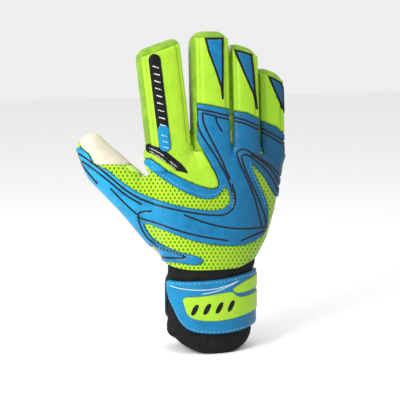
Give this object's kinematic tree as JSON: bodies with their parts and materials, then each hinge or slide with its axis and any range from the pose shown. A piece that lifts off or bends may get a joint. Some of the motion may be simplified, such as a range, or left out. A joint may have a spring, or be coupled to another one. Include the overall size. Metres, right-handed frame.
{
  "type": "goalkeeper glove",
  "caption": "Right-hand goalkeeper glove with a padded backhand, latex palm, stiffened stalls that fold at their joints, and a wrap-round wrist strap.",
  "frame": {"origin": "centre of the cuff's opening, on the plane of the hem that the glove stands on", "axes": "+Z from the cuff to the fingertips, -Y out of the back of the hand, -X towards the thumb"},
  "size_m": [0.1875, 0.0718, 0.2791],
  "materials": {
    "black_neoprene": "matte knit over neoprene",
    "hook_and_loop": "matte pile",
    "blue_foam": "satin embossed foam",
    "neon_mesh": "matte air mesh",
    "neon_foam": "satin embossed foam",
    "latex": "matte latex foam",
    "spine_plastic": "matte"
  },
  "bodies": {
    "hand": {"wrist_cuff": "black_neoprene", "cuff_loop_patch": "hook_and_loop", "strap_anchor": "blue_foam", "backhand_mesh": "neon_mesh", "palm_latex": "latex", "backhand_panel": "blue_foam", "side_panel": "blue_foam", "index_trim": "blue_foam", "shield_root": "neon_foam", "wrist_wing": "blue_foam"},
    "strap": {"strap_flap": "blue_foam", "strap_label": "neon_foam", "strap_hook_patch": "hook_and_loop"},
    "knuckles": {"knuckle_mesh": "neon_mesh", "knuckle_palm": "latex", "knuckle_panel": "blue_foam", "knuckle_shield": "neon_foam", "spine_roots": "spine_plastic"},
    "thumb_base": {"thumb_base_back": "blue_foam", "thumb_base_palm": "latex", "thumb_base_gusset": "neon_mesh"},
    "thumb_end": {"thumb_end_back": "blue_foam", "thumb_end_palm": "latex", "thumb_end_gusset": "neon_mesh"},
    "index_base": {"index_base_back": "neon_foam", "index_base_palm": "latex", "index_base_gusset": "neon_foam", "index_base_spine": "spine_plastic"},
    "index_end": {"index_end_back": "neon_foam", "index_end_palm": "latex", "index_end_gusset": "neon_foam", "index_end_spine": "spine_plastic", "index_badge": "black_neoprene"},
    "middle_base": {"middle_base_back": "blue_foam", "middle_base_palm": "latex", "middle_base_gusset": "neon_foam", "middle_base_spine": "spine_plastic"},
    "middle_end": {"middle_end_back": "neon_foam", "middle_end_palm": "latex", "middle_end_gusset": "neon_foam", "middle_end_spine": "spine_plastic", "middle_tip_insert": "blue_foam"},
    "ring_base": {"ring_base_back": "blue_foam", "ring_base_palm": "latex", "ring_base_gusset": "neon_foam", "ring_base_spine": "spine_plastic"},
    "ring_end": {"ring_end_back": "neon_foam", "ring_end_palm": "latex", "ring_end_gusset": "neon_foam", "ring_end_spine": "spine_plastic", "ring_tip_insert": "blue_foam"},
    "little_base": {"little_base_back": "blue_foam", "little_base_palm": "latex", "little_base_gusset": "neon_foam", "little_base_spine": "spine_plastic"},
    "little_end": {"little_end_back": "neon_foam", "little_end_palm": "latex", "little_end_gusset": "neon_foam", "little_end_spine": "spine_plastic", "little_tip_insert": "blue_foam"}
  },
  "joints": [
    {"name": "knuckle_fold", "type": "hinge", "parent": "hand", "child": "knuckles", "pos_m": [0, 0.001, 0.15], "axis": [-1, 0, 0], "range_deg": [0, 45], "stiffness_Nm_per_rad": 0.8},
    {"name": "index_root_bend", "type": "hinge", "parent": "knuckles", "child": "index_base", "pos_m": [-0.03738, 0.00028, 0.18097], "axis": [-0.9954, 0, -0.0961], "range_deg": [0, 25], "stiffness_Nm_per_rad": 0.3},
    {"name": "index_middle_bend", "type": "hinge", "parent": "index_base", "child": "index_end", "pos_m": [-0.03997, 0.00215, 0.20778], "axis": [-0.9954, 0, -0.0961], "range_deg": [0, 70], "stiffness_Nm_per_rad": 0.2},
    {"name": "middle_root_bend", "type": "hinge", "parent": "knuckles", "child": "middle_base", "pos_m": [0, -0.00272, 0.18299], "axis": [-1, 0, 0], "range_deg": [0, 25], "stiffness_Nm_per_rad": 0.3},
    {"name": "middle_middle_bend", "type": "hinge", "parent": "middle_base", "child": "middle_end", "pos_m": [0, -0.0007, 0.21192], "axis": [-1, 0, 0], "range_deg": [0, 70], "stiffness_Nm_per_rad": 0.2},
    {"name": "ring_root_bend", "type": "hinge", "parent": "knuckles", "child": "ring_base", "pos_m": [0.031, -0.00065, 0.17999], "axis": [-1, 0, 0], "range_deg": [0, 25], "stiffness_Nm_per_rad": 0.3},
    {"name": "ring_middle_bend", "type": "hinge", "parent": "ring_base", "child": "ring_end", "pos_m": [0.031, 0.00161, 0.20589], "axis": [-1, 0, 0], "range_deg": [0, 70], "stiffness_Nm_per_rad": 0.2},
    {"name": "little_root_bend", "type": "hinge", "parent": "knuckles", "child": "little_base", "pos_m": [0.0585, 0.00735, 0.17098], "axis": [-1, 0, 0], "range_deg": [0, 25], "stiffness_Nm_per_rad": 0.3},
    {"name": "little_middle_bend", "type": "hinge", "parent": "little_base", "child": "little_end", "pos_m": [0.0585, 0.00927, 0.1929], "axis": [-1, 0, 0], "range_deg": [0, 70], "stiffness_Nm_per_rad": 0.2},
    {"name": "thumb_root_bend", "type": "hinge", "parent": "hand", "child": "thumb_base", "pos_m": [-0.04344, 0.00957, 0.11422], "axis": [-0.735, 0, -0.678], "range_deg": [-10, 15], "stiffness_Nm_per_rad": 0.4},
    {"name": "thumb_middle_bend", "type": "hinge", "parent": "thumb_base", "child": "thumb_end", "pos_m": [-0.07445, 0.01472, 0.14781], "axis": [-0.3738, 0.8008, -0.468], "range_deg": [0, 30], "stiffness_Nm_per_rad": 0.2},
    {"name": "strap_peel", "type": "hinge", "parent": "hand", "child": "strap", "pos_m": [0.041, -0.00025, 0.04], "axis": [0, 0, 1], "range_deg": [0, 110]}
  ]
}
